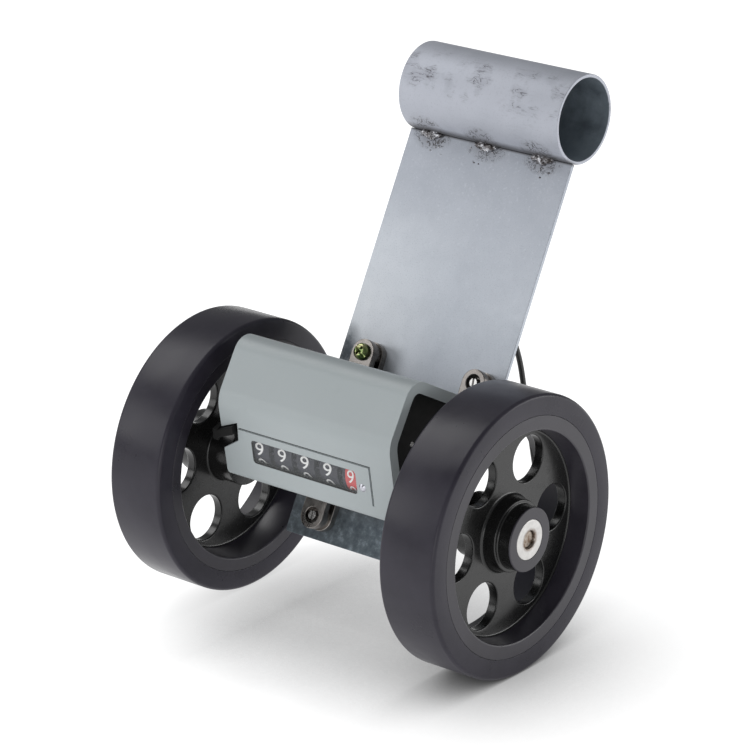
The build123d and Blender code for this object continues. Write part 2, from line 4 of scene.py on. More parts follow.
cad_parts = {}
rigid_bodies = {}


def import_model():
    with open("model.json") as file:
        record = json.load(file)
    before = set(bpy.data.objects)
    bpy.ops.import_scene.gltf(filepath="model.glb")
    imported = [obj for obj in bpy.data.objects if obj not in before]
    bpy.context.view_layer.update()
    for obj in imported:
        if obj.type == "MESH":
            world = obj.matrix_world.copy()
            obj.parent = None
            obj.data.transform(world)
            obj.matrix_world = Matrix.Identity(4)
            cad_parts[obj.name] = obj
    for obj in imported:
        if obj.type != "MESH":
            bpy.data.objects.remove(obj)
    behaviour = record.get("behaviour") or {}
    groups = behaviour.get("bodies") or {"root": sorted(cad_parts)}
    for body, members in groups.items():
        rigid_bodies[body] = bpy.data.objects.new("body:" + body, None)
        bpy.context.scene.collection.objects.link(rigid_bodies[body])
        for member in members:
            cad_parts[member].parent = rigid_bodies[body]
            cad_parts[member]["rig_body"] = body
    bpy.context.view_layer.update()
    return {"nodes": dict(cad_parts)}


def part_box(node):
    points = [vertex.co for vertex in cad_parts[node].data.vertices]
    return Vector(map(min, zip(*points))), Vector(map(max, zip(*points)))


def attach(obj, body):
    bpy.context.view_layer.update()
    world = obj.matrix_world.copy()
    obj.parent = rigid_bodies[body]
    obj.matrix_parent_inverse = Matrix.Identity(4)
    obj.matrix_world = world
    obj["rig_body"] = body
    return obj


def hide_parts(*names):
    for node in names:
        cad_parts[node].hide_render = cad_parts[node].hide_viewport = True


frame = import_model()

# ------------------------------------------------------------------ frames
LEAN, WR = 28.28, 47.75
lo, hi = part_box("axle_shaft")
AXLE = (lo + hi) / 2
AXLE.x = 0.0
# mm in the bracket's own frame (x along the axle, n to the back, u up the plate) to metres in the row frame
M = Matrix.Translation(AXLE) @ Matrix.Rotation(math.radians(-LEAN), 4, "X") @ Matrix.Scale(0.001, 4)
MI = M.inverted()
scene = bpy.context.scene


# ------------------------------------------------------------------ node helpers
class Mat:
    def __init__(self, name, base, rough, metal=0.0, spec=0.5):
        self.m = bpy.data.materials.new(name)
        self.m.use_nodes = True
        self.t = self.m.node_tree
        self.b = next(n for n in self.t.nodes if n.type == "BSDF_PRINCIPLED")
        self.b.inputs["Base Color"].default_value = (*base, 1)
        self.b.inputs["Roughness"].default_value = rough
        self.b.inputs["Metallic"].default_value = metal
        self.b.inputs["Specular IOR Level"].default_value = spec
        self.m.diffuse_color = (*base, 1)
        self.co = self.t.nodes.new("ShaderNodeTexCoord").outputs["Object"]
        self.height = None

    def node(self, kind, **props):
        n = self.t.nodes.new(kind)
        for k, v in props.items():
            setattr(n, k, v)
        return n

    def link(self, a, b):
        self.t.links.new(a, b)

    def mapping(self, scale=(1, 1, 1), rot=(0, 0, 0), loc=(0, 0, 0)):
        n = self.node("ShaderNodeMapping")
        n.inputs["Scale"].default_value = scale
        n.inputs["Rotation"].default_value = rot
        n.inputs["Location"].default_value = loc
        self.link(self.co, n.inputs["Vector"])
        return n.outputs["Vector"]

    def noise(self, scale, detail=3.0, rough=0.55, vec=None, distortion=0.0):
        n = self.node("ShaderNodeTexNoise")
        n.inputs["Scale"].default_value = scale
        n.inputs["Detail"].default_value = detail
        n.inputs["Roughness"].default_value = rough
        n.inputs["Distortion"].default_value = distortion
        self.link(vec or self.co, n.inputs["Vector"])
        return n.outputs["Fac"]

    def voronoi(self, scale, vec=None, feature="F1", out="Distance", rand=1.0):
        n = self.node("ShaderNodeTexVoronoi", feature=feature)
        n.inputs["Scale"].default_value = scale
        n.inputs["Randomness"].default_value = rand
        self.link(vec or self.co, n.inputs["Vector"])
        return n.outputs[out]

    def ramp(self, fac, stops, interp="LINEAR"):
        n = self.node("ShaderNodeValToRGB")
        n.color_ramp.interpolation = interp
        els = n.color_ramp.elements
        while len(els) < len(stops):
            els.new(0.5)
        for e, (p, c) in zip(els, stops):
            e.position = p
            e.color = (*c, 1) if len(c) == 3 else c
        self.link(fac, n.inputs["Fac"])
        return n.outputs["Color"]

    def grey(self, fac, a, b, lo=0.0, hi=1.0):
        n = self.node("ShaderNodeMapRange")
        n.inputs["From Min"].default_value = lo
        n.inputs["From Max"].default_value = hi
        n.inputs["To Min"].default_value = a
        n.inputs["To Max"].default_value = b
        n.clamp = True
        self.link(fac, n.inputs["Value"])
        return n.outputs["Result"]

    def math(self, op, a, b=None, clamp=False):
        n = self.node("ShaderNodeMath", operation=op, use_clamp=clamp)
        for i, v in enumerate((a, b)):
            if v is None:
                continue
            if isinstance(v, (int, float)):
                n.inputs[i].default_value = v
            else:
                self.link(v, n.inputs[i])
        return n.outputs[0]

    def mix(self, fac, a, b, mode="MIX"):
        n = self.node("ShaderNodeMix", data_type="RGBA", blend_type=mode)
        ins = [s for s in n.inputs if s.enabled]
        for s, v in ((n.inputs[0], fac), (n.inputs[6], a), (n.inputs[7], b)):
            if isinstance(v, (int, float)):
                s.default_value = v
            elif isinstance(v, tuple):
                s.default_value = (*v, 1) if len(v) == 3 else v
            else:
                self.link(v, s)
        return n.outputs[2]

    def sep(self, vec=None):
        n = self.node("ShaderNodeSeparateXYZ")
        self.link(vec or self.co, n.inputs[0])
        return n.outputs

    def vein(self, scale, width, vec=None, distortion=0.0, detail=3.0):
        """Thin broken lines where a noise field crosses its middle."""
        n = self.noise(scale, detail, 0.6, vec, distortion)
        return self.grey(self.math("ABSOLUTE", self.math("SUBTRACT", n, 0.5)), 1.0, 0.0, width * 0.35, width)

    def color(self, sock):
        self.link(sock, self.b.inputs["Base Color"])

    def rough(self, sock):
        self.link(sock, self.b.inputs["Roughness"])

    def bump(self, h, dist, strength=1.0):
        n = self.node("ShaderNodeBump")
        n.inputs["Strength"].default_value = strength
        n.inputs["Distance"].default_value = dist
        self.link(h, n.inputs["Height"])
        if self.height:
            self.link(self.height, n.inputs["Normal"])
        self.height = n.outputs["Normal"]
        self.link(self.height, self.b.inputs["Normal"])


def plate_coords(mt):
    """Object coordinates turned into the bracket's frame: x, n, u in metres about the axle."""
    n = mt.node("ShaderNodeVectorMath", operation="SUBTRACT")
    mt.link(mt.co, n.inputs[0])
    n.inputs[1].default_value = AXLE
    r = mt.node("ShaderNodeVectorRotate", rotation_type="X_AXIS")
    mt.link(n.outputs[0], r.inputs["Vector"])
    r.inputs["Angle"].default_value = math.radians(LEAN)
    return r.outputs[0]


def burn(mt, p):
    """Scorch and hairline spatter round the three weld tacks, 0 to 1, in bracket coordinates."""
    x, n, u = mt.sep(p)
    total = None
    for x0 in (-0.025, -0.0015, 0.022):
        a = mt.math("MULTIPLY", mt.math("SUBTRACT", x, x0 + 0.0006), 1 / 0.0085)
        b = mt.math("MULTIPLY", mt.math("SUBTRACT", u, 0.1222), 1 / 0.0050)
        d = mt.math("SQRT", mt.math("ADD", mt.math("MULTIPLY", a, a), mt.math("MULTIPLY", b, b)))
        m = mt.grey(d, 1.0, 0.0, 0.25, 1.05)
        total = m if total is None else mt.math("MAXIMUM", total, m)
    return total


# ------------------------------------------------------------------ materials
def mat_tyre():
    m = Mat("tyre_rubber", (0.026, 0.024, 0.033), 0.4, spec=0.26)
    big = m.noise(55, 4, 0.6)
    fine = m.noise(900, 3, 0.6)
    m.color(m.ramp(big, [(0.3, (0.021, 0.019, 0.028)), (0.7, (0.034, 0.031, 0.043))]))
    m.rough(m.grey(big, 0.24, 0.40, 0.3, 0.7))
    m.bump(fine, 0.00002, 0.4)
    m.bump(m.noise(42, 2, 0.5), 0.0009, 0.35)
    return m.m


def mat_rim():
    m = Mat("wheel_plastic", (0.030, 0.028, 0.036), 0.36)
    big = m.noise(70, 3, 0.5)
    m.color(m.ramp(big, [(0.3, (0.018, 0.016, 0.023)), (0.7, (0.030, 0.027, 0.037))]))
    m.rough(m.grey(big, 0.27, 0.38, 0.3, 0.7))
    m.bump(m.noise(700, 2, 0.5), 0.00002, 0.4)
    m.bump(m.noise(40, 2, 0.4), 0.00025, 0.25)
    return m.m


def mat_black(name="black_plastic", base=0.016, r=0.42, spec=0.5, bump=0.00003):
    m = Mat(name, (base, base, base * 1.15), r, spec=spec)
    f = m.noise(400, 3, 0.6)
    m.color(m.ramp(m.noise(90, 3), [(0.3, (base * 0.8,) * 3), (0.7, (base * 1.35,) * 3)]))
    m.rough(m.grey(f, r - 0.05, r + 0.06, 0.3, 0.7))
    m.bump(f, bump, 0.5)
    return m.m


def mat_housing():
    m = Mat("housing_grey", (0.375, 0.412, 0.425), 0.42)
    soft = m.noise(28, 3, 0.5)
    speck = m.noise(1400, 2, 0.6)
    dirt = m.noise(140, 5, 0.65)
    c = m.ramp(soft, [(0.25, (0.362, 0.402, 0.412)), (0.75, (0.392, 0.430, 0.440))])
    c = m.mix(m.grey(dirt, 0.0, 0.35, 0.62, 0.8), c, (0.31, 0.342, 0.352))
    m.color(c)
    m.rough(m.grey(speck, 0.36, 0.5, 0.3, 0.7))
    m.bump(speck, 0.00004, 0.45)
    m.bump(m.noise(60, 2, 0.5), 0.0002, 0.15)
    return m.m


def mat_galv():
    m = Mat("galvanised_sheet", (0.42, 0.45, 0.51), 0.52, 0.6)
    p = plate_coords(m)
    warp = m.node("ShaderNodeVectorMath", operation="ADD")
    wn = m.node("ShaderNodeTexNoise")
    wn.inputs["Scale"].default_value = 90
    m.link(p, wn.inputs["Vector"])
    sc = m.node("ShaderNodeVectorMath", operation="SCALE")
    m.link(wn.outputs["Color"], sc.inputs[0])
    sc.inputs["Scale"].default_value = 0.004
    m.link(p, warp.inputs[0])
    m.link(sc.outputs[0], warp.inputs[1])
    cells = m.voronoi(260, warp.outputs[0], out="Color")
    cell = m.node("ShaderNodeSeparateColor")
    m.link(cells, cell.inputs[0])
    cloud = m.noise(38, 5, 0.62, p)
    speck = m.noise(900, 4, 0.7, p)
    grain = m.noise(2200, 2, 0.6, p)
    x, n, u = m.sep(p)
    c = m.ramp(cloud, [(0.3, (0.53, 0.565, 0.62)), (0.7, (0.61, 0.645, 0.70))])
    # painted shade: a little darker towards the tube
    c = m.mix(m.grey(u, 0.0, 0.45, 0.070, 0.125), c, (0.225, 0.235, 0.285))
    # painted highlight: brightest low on the left, where the plate mirrors the key light
    painted_highlight = m.math("MULTIPLY", m.grey(x, 0.6, 0.0, -0.030, 0.004), m.grey(u, 1.0, 0.0, 0.060, 0.105))
    c = m.mix(painted_highlight, c, (0.82, 0.85, 0.88))
    c = m.mix(m.grey(cell.outputs[0], 0.0, 0.05), c, (0.33, 0.37, 0.43))
    c = m.mix(m.grey(speck, 0.0, 0.42, 0.56, 0.74), c, (0.68, 0.71, 0.76))
    c = m.mix(m.grey(grain, 0.0, 0.30, 0.56, 0.70), c, (0.25, 0.28, 0.33))
    # mottled dark teal low down, and a painted dark reflection beside the upper left ear
    low = m.grey(u, 1.0, 0.0, -0.012, 0.028)
    lowc = m.ramp(m.noise(300, 5, 0.7, p), [(0.38, (0.030, 0.048, 0.062)), (0.54, (0.085, 0.115, 0.135)), (0.72, (0.27, 0.32, 0.355))])
    c = m.mix(m.math("MULTIPLY", low, 0.88), c, lowc)
    a = m.math("MULTIPLY", m.math("SUBTRACT", x, -0.0330), 1 / 0.0060)
    b = m.math("MULTIPLY", m.math("SUBTRACT", u, 0.0440), 1 / 0.0095)
    sd = m.math("SQRT", m.math("ADD", m.math("MULTIPLY", a, a), m.math("MULTIPLY", b, b)))
    dark_reflection = m.math("MULTIPLY", m.grey(sd, 1.0, 0.0, 0.45, 1.1), m.grey(m.noise(260, 4, 0.65, p), 0.5, 1.0, 0.35, 0.6))
    c = m.mix(m.math("MULTIPLY", dark_reflection, 0.85), c, (0.045, 0.065, 0.085))
    fire = burn(m, p)
    v = m.math("MULTIPLY", m.vein(330, 0.030, p, 1.2), m.grey(fire, 0.0, 1.0, 0.05, 0.45))
    c = m.mix(m.math("MULTIPLY", fire, 0.42), c, (0.17, 0.165, 0.18))
    c = m.mix(m.math("MULTIPLY", v, 0.85), c, (0.035, 0.028, 0.026))
    # painted shadow: a dark line along the plate's top edge where the tube sits on it
    c = m.mix(m.grey(u, 0.0, 0.75, 0.1226, 0.1233), c, (0.05, 0.045, 0.045))
    m.color(c)
    m.rough(m.grey(cell.outputs[1], 0.53, 0.565))
    m.bump(speck, 0.00004, 0.3)
    m.bump(m.noise(60, 2, 0.5, p), 0.00025, 0.12)
    return m.m


def mat_tube(inside=False):
    m = Mat("tube_inside_shaded" if inside else "tube_zinc", (0.40, 0.42, 0.475), 0.58, 0.35)
    p = plate_coords(m)
    x, n, u = m.sep(p)
    st = m.node("ShaderNodeMapping")
    st.inputs["Scale"].default_value = (0.22, 1, 1)
    m.link(p, st.inputs["Vector"])
    soft = m.noise(60, 4, 0.6, p)
    grain = m.noise(1500, 3, 0.65, p)
    if inside:
        # painted shade: the zinc inside is far darker than outside, with painted light making it lighter low down where
        # the light gets in
        c = m.ramp(m.noise(110, 5, 0.65), [(0.32, (0.085, 0.105, 0.125)), (0.68, (0.19, 0.225, 0.255))])
        c = m.mix(m.math("MULTIPLY", m.grey(u, 1.0, 0.0, 0.1250, 0.1400), 0.6), c, (0.40, 0.46, 0.52))
        m.color(c)
        m.rough(m.grey(grain, 0.42, 0.6, 0.35, 0.65))
        m.bump(m.noise(300, 4, 0.6), 0.0001, 0.4)
        return m.m
    # cracks and scuffs run along the front of the tube, in patches
    crack = m.vein(520, 0.020, st.outputs[0], 0.9, 4.0)
    fleck = m.grey(m.noise(900, 4, 0.7, st.outputs[0], 0.4), 0.0, 1.0, 0.60, 0.68)
    patch = m.grey(m.noise(95, 3, 0.6, p), 0.0, 1.0, 0.46, 0.60)
    band = m.math("MULTIPLY", m.grey(u, 0.0, 1.0, 0.1330, 0.1375), m.grey(u, 1.0, 0.0, 0.1470, 0.1505))
    scuff = m.math("MULTIPLY", m.math("ADD", m.math("MULTIPLY", crack, 0.9), m.math("MULTIPLY", fleck, 0.6)), patch)
    scuff = m.math("MULTIPLY", scuff, m.math("ADD", m.math("MULTIPLY", band, 0.9), 0.10), clamp=True)
    c = m.ramp(soft, [(0.3, (0.46, 0.482, 0.54)), (0.7, (0.52, 0.54, 0.60))])
    c = m.mix(m.grey(grain, 0.0, 0.25, 0.55, 0.7), c, (0.29, 0.30, 0.35))
    # the band where the scuffs are is a shade darker
    c = m.mix(m.math("MULTIPLY", m.math("MULTIPLY", band, patch), 0.28), c, (0.25, 0.255, 0.30))
    c = m.mix(m.math("MULTIPLY", scuff, 0.9), c, (0.075, 0.070, 0.080))
    fire = burn(m, p)
    v = m.math("MULTIPLY", m.vein(300, 0.032, p, 1.2), m.grey(fire, 0.0, 1.0, 0.05, 0.45))
    c = m.mix(m.math("MULTIPLY", fire, 0.45), c, (0.15, 0.145, 0.16))
    c = m.mix(m.math("MULTIPLY", v, 0.85), c, (0.035, 0.028, 0.026))
    # painted shadow: a dark line low on the tube where it meets the plate
    c = m.mix(m.grey(u, 0.75, 0.0, 0.1237, 0.1246), c, (0.05, 0.045, 0.045))
    m.color(c)
    m.rough(m.grey(soft, 0.54, 0.64, 0.3, 0.7))
    m.bump(m.math("ADD", m.math("MULTIPLY", scuff, -1.0), m.math("MULTIPLY", grain, 0.3)), 0.00006, 0.4)
    m.bump(m.noise(45, 2, 0.5, p), 0.0003, 0.12)
    return m.m


def mat_weld():
    m = Mat("weld_metal", (0.5, 0.51, 0.54), 0.34, 0.9)
    f = m.noise(420, 5, 0.7)
    c = m.ramp(f, [(0.36, (0.045, 0.038, 0.036)), (0.46, (0.26, 0.25, 0.26)), (0.60, (0.70, 0.71, 0.75))])
    c = m.mix(m.math("MULTIPLY", m.vein(380, 0.03, None, 1.0), 0.8), c, (0.03, 0.025, 0.022))
    m.color(c)
    m.rough(m.grey(f, 0.52, 0.24, 0.35, 0.65))
    m.bump(m.noise(800, 4, 0.7), 0.0002, 0.6)
    return m.m


def mat_nickel():
    m = Mat("nickel_plate", (0.20, 0.185, 0.175), 0.3, 1.0)
    f = m.noise(160, 4, 0.65)
    m.color(m.ramp(f, [(0.32, (0.15, 0.138, 0.130)), (0.68, (0.34, 0.318, 0.30))]))
    m.rough(m.grey(f, 0.22, 0.38, 0.3, 0.7))
    m.bump(m.noise(700, 3, 0.6), 0.00003, 0.4)
    m.bump(m.noise(120, 2, 0.5), 0.0003, 0.35)
    return m.m


def mat_zinc_yellow():
    m = Mat("yellow_passivate", (0.20, 0.23, 0.10), 0.24, 1.0)
    f = m.noise(300, 3, 0.6, distortion=0.6)
    m.color(m.ramp(f, [(0.30, (0.040, 0.095, 0.040)), (0.46, (0.17, 0.235, 0.085)), (0.6, (0.38, 0.38, 0.20)), (0.74, (0.24, 0.17, 0.15))]))
    m.rough(m.grey(f, 0.16, 0.30, 0.3, 0.7))
    m.bump(m.noise(900, 3), 0.00003, 0.4)
    return m.m


def mat_steel(name="bright_steel", base=(0.74, 0.73, 0.715), r=0.26, rings=False, brown=False):
    m = Mat(name, base, r, 1.0)
    f = m.noise(500, 4, 0.65)
    c = m.ramp(f, [(0.3, tuple(v * 0.86 for v in base)), (0.7, tuple(min(1, v * 1.1) for v in base))])
    if rings:
        p = plate_coords(m)
        x, n, u = m.sep(p)
        rad = m.math("SQRT", m.math("ADD", m.math("MULTIPLY", n, n), m.math("MULTIPLY", u, u)))
        w = m.node("ShaderNodeTexNoise", noise_dimensions="1D")
        w.inputs["Scale"].default_value = 5200
        w.inputs["Detail"].default_value = 2
        m.link(rad, w.inputs["W"])
        m.bump(w.outputs["Fac"], 0.00004, 0.5)
        if brown:
            # browner towards the bore edge, mottled by noise
            edge = m.grey(rad, 1.0, 0.0, 0.0033, 0.0042)
            brown_ring = m.math("MULTIPLY", edge, m.grey(m.noise(420, 4, 0.7), 0.35, 1.0, 0.35, 0.6))
            c = m.mix(brown_ring, c, (0.16, 0.105, 0.07))
    m.color(c)
    m.rough(m.grey(f, r - 0.06, r + 0.10, 0.3, 0.7))
    m.bump(m.noise(1600, 2), 0.00002, 0.4)
    return m.m


def mat_simple(name, a, b, r, metal=0.0, scale=200, bump=0.00003):
    m = Mat(name, a, r, metal)
    f = m.noise(scale, 4, 0.6)
    m.color(m.ramp(f, [(0.3, a), (0.7, b)]))
    m.rough(m.grey(f, max(0.05, r - 0.05), r + 0.08, 0.3, 0.7))
    m.bump(m.noise(scale * 5, 2), bump, 0.4)
    return m.m


def mat_lens():
    m = Mat("lens_clear", (0.9, 0.94, 0.95), 0.06)
    m.b.inputs["Alpha"].default_value = 0.045
    m.bump(m.noise(120, 2), 0.00005, 0.1)
    m.m.surface_render_method = "BLENDED"
    return m.m


def mat_drum():
    m = Mat("drum_black", (0.020, 0.020, 0.032), 0.5, spec=0.3)
    f = m.noise(260, 4, 0.6)
    m.color(m.ramp(f, [(0.3, (0.017, 0.017, 0.028)), (0.7, (0.030, 0.030, 0.046))]))
    m.rough(m.grey(f, 0.44, 0.58, 0.3, 0.7))
    m.bump(m.noise(1800, 2), 0.00002, 0.4)
    return m.m


MT = {
    "tyre": mat_tyre(), "rim": mat_rim(), "black": mat_black(), "housing": mat_housing(), "galv": mat_galv(),
    "tube": mat_tube(), "tube_in": mat_tube(True), "weld": mat_weld(), "nickel": mat_nickel(), "yellow": mat_zinc_yellow(),
    "steel": mat_steel(), "insert": mat_steel("hub_insert_steel", (0.60, 0.59, 0.575), 0.34, True, True),
    "axle": mat_steel("axle_steel", (0.60, 0.56, 0.50), 0.32, True, True), "lens": mat_lens(), "drum": mat_drum(),
    "brass": mat_simple("brass", (0.55, 0.38, 0.14), (0.70, 0.50, 0.22), 0.3, 1.0),
    "nylon": mat_simple("nylon", (0.70, 0.68, 0.60), (0.80, 0.78, 0.71), 0.45),
    "red": mat_simple("drum_red", (0.50, 0.035, 0.04), (0.62, 0.06, 0.06), 0.4),
    "white": mat_simple("numeral_white", (0.74, 0.74, 0.74), (0.84, 0.84, 0.83), 0.5),
    "wire": mat_black("wire_coating", 0.012, 0.3), "pin": mat_steel("pin_steel", (0.52, 0.52, 0.57), 0.3),
    "screw": mat_simple("screw_steel", (0.50, 0.49, 0.48), (0.66, 0.65, 0.64), 0.3, 1.0),
    "deep": mat_black("moulded_black", 0.006, 0.55, 0.2), "web": mat_black("wheel_web_shaded", 0.008, 0.24, 0.5, 0.000004),
}


# ------------------------------------------------------------------ mesh helpers
def finish_obj(name, bm, body, mat, repl=(), angle=32, mats=None, weighted=False, to_row=True):
    if to_row:
        bm.transform(M)
    bmesh.ops.remove_doubles(bm, verts=bm.verts, dist=2e-7)
    bmesh.ops.recalc_face_normals(bm, faces=bm.faces)
    for f in bm.faces:
        f.smooth = True
    lim = math.radians(angle)
    for e in bm.edges:
        e.smooth = not (len(e.link_faces) == 2 and e.calc_face_angle(0) > lim)
    me = bpy.data.meshes.new(name)
    bm.to_mesh(me)
    bm.free()
    ob = bpy.data.objects.new(name, me)
    scene.collection.objects.link(ob)
    for x in (mats or [mat]):
        me.materials.append(x)
    if weighted:
        w = ob.modifiers.new("weighted", "WEIGHTED_NORMAL")
        w.keep_sharp = True
        w.weight = 80
    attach(ob, body)
    if repl:
        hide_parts(*repl)
    return ob


def rounded(points, radii, steps=4, closed=True):
    """Corners of a 2D polygon turned into arcs. radii is one number or one per point."""
    n = len(points)
    if isinstance(radii, (int, float)):
        radii = [radii] * n
    out = []
    for i, p in enumerate(points):
        r = radii[i]
        if r <= 0 or (not closed and i in (0, n - 1)):
            out.append(tuple(p))
            continue
        a, b = Vector(points[i - 1]), Vector(points[(i + 1) % n])
        p = Vector(p)
        d1, d2 = (a - p), (b - p)
        l1, l2 = d1.length, d2.length
        d1.normalize(); d2.normalize()
        cosv = max(-1, min(1, d1.dot(d2)))
        ang = math.acos(cosv)
        if ang > math.pi - 0.02:
            out.append(tuple(p))
            continue
        t = min(r / math.tan(ang / 2), 0.48 * l1, 0.48 * l2)
        rr = t * math.tan(ang / 2)
        c = p + (d1 + d2).normalized() * (rr / math.sin(ang / 2))
        s, e = p + d1 * t, p + d2 * t
        a0 = math.atan2(s.y - c.y, s.x - c.x)
        a1 = math.atan2(e.y - c.y, e.x - c.x)
        da = (a1 - a0 + math.pi) % (2 * math.pi) - math.pi
        for k in range(steps + 1):
            q = a0 + da * k / steps
            out.append((c.x + rr * math.cos(q), c.y + rr * math.sin(q)))
    return out


def lathe(profile, segs=160, centre=(0.0, 0.0), bm=None, mat_of=None, phase=0.0):
    """A closed (x, r) profile turned about an axis along x through (n, u) = centre."""
    bm = bm or bmesh.new()
    rings = []
    for x, r in profile:
        if r < 1e-6:
            rings.append([bm.verts.new((x, centre[0], centre[1]))])
        else:
            rings.append([bm.verts.new((x, centre[0] + r * math.cos(2 * math.pi * k / segs + phase),
                                        centre[1] + r * math.sin(2 * math.pi * k / segs + phase))) for k in range(segs)])
    for i in range(len(rings)):
        a, b = rings[i], rings[(i + 1) % len(rings)]
        for k in range(segs):
            k2 = (k + 1) % segs
            va = [a[k], a[k2]] if len(a) > 1 else [a[0]]
            vb = [b[k2], b[k]] if len(b) > 1 else [b[0]]
            vs = va + vb
            if len(vs) >= 3:
                f = bm.faces.new(vs)
                if mat_of:
                    f.material_index = mat_of(i)
    return bm


def offset_loop(pts, d):
    """Moves a loop d into the material: counter-clockwise outer loops and clockwise holes."""
    out = []
    n = len(pts)
    for i in range(n):
        a, p, b = Vector(pts[i - 1]), Vector(pts[i]), Vector(pts[(i + 1) % n])
        e1, e2 = (p - a).normalized(), (b - p).normalized()
        n1, n2 = Vector((-e1.y, e1.x)), Vector((-e2.y, e2.x))
        m = (n1 + n2) / max(0.3, 1 + n1.dot(n2))
        out.append(tuple(p + m * d))
    return out


def circle(cx, cy, r, n=48, cw=False, phase=0.0):
    s = -1 if cw else 1
    return [(cx + r * math.cos(s * 2 * math.pi * k / n + phase), cy + r * math.sin(s * 2 * math.pi * k / n + phase)) for k in range(n)]


def slab(loops, z0, z1, bevel, put, steps=3, bm=None):
    """A sheet with holes from z0 to z1, every edge rounded. put maps (a, b, z) to bracket-frame mm."""
    bm = bm or bmesh.new()
    sections = []
    for k in range(steps + 1):
        q = math.pi / 2 * k / steps
        sections.append((bevel * (1 - math.sin(q)), z0 + bevel * (1 - math.cos(q))))
    sections += [(i, z1 - (z - z0)) for i, z in reversed(sections)]
    first, last = [], []
    for loop in loops:
        rings = []
        for inset, z in sections:
            pts = offset_loop(loop, inset)
            rings.append([bm.verts.new(put(p[0], p[1], z)) for p in pts])
        for a, b in zip(rings, rings[1:]):
            n = len(a)
            for k in range(n):
                bm.faces.new((a[k], a[(k + 1) % n], b[(k + 1) % n], b[k]))
        first.append(rings[0])
        last.append(rings[-1])
    for group in (first, last):
        edges = []
        for ring in group:
            n = len(ring)
            for k in range(n):
                e = bm.edges.get((ring[k], ring[(k + 1) % n]))
                edges.append(e)
        bmesh.ops.triangle_fill(bm, use_beauty=True, use_dissolve=False, edges=edges)
    return bm


def from_cad(node, name, mat, bevel=0.2, segs=2, body=None, angle=35, weighted=True, flat=0.6, paint=None, extra=()):
    """A CAD node's own shape with its sharp edges really rounded, in mesh."""
    src = frame["nodes"][node]
    bm = bmesh.new()
    bm.from_mesh(src.data)
    bmesh.ops.remove_doubles(bm, verts=bm.verts, dist=1.5e-6)
    bmesh.ops.dissolve_degenerate(bm, dist=1e-7, edges=bm.edges)
    bmesh.ops.dissolve_limit(bm, angle_limit=math.radians(flat), verts=bm.verts, edges=bm.edges, use_dissolve_boundaries=False)
    if bevel:
        lim = math.radians(angle)
        edges = [e for e in bm.edges if len(e.link_faces) == 2 and e.calc_face_angle(0) > lim]
        bmesh.ops.bevel(bm, geom=edges, offset=bevel * 0.001, offset_type="OFFSET", segments=segs, profile=0.5,
                        affect="EDGES", clamp_overlap=False, miter_outer="SHARP", miter_inner="SHARP", loop_slide=True)
        bmesh.ops.remove_doubles(bm, verts=bm.verts, dist=1e-6)
    for f in bm.faces:
        f.material_index = 0
    if paint:
        bmesh.ops.recalc_face_normals(bm, faces=bm.faces)
        paint(bm)
    return finish_obj(name, bm, body or src["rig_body"], mat, (node,), weighted=weighted, to_row=False,
                      mats=[mat, *extra] if extra else None)


# ------------------------------------------------------------------ wheels
TYRE_IN, RIM_BORE = 40.7, 35.8
W0, W1 = 46.7, 68.6
WEB0, WEB1 = 57.6, 61.2
HUB, COLLAR = 10.85, 13.0
SEG = 192


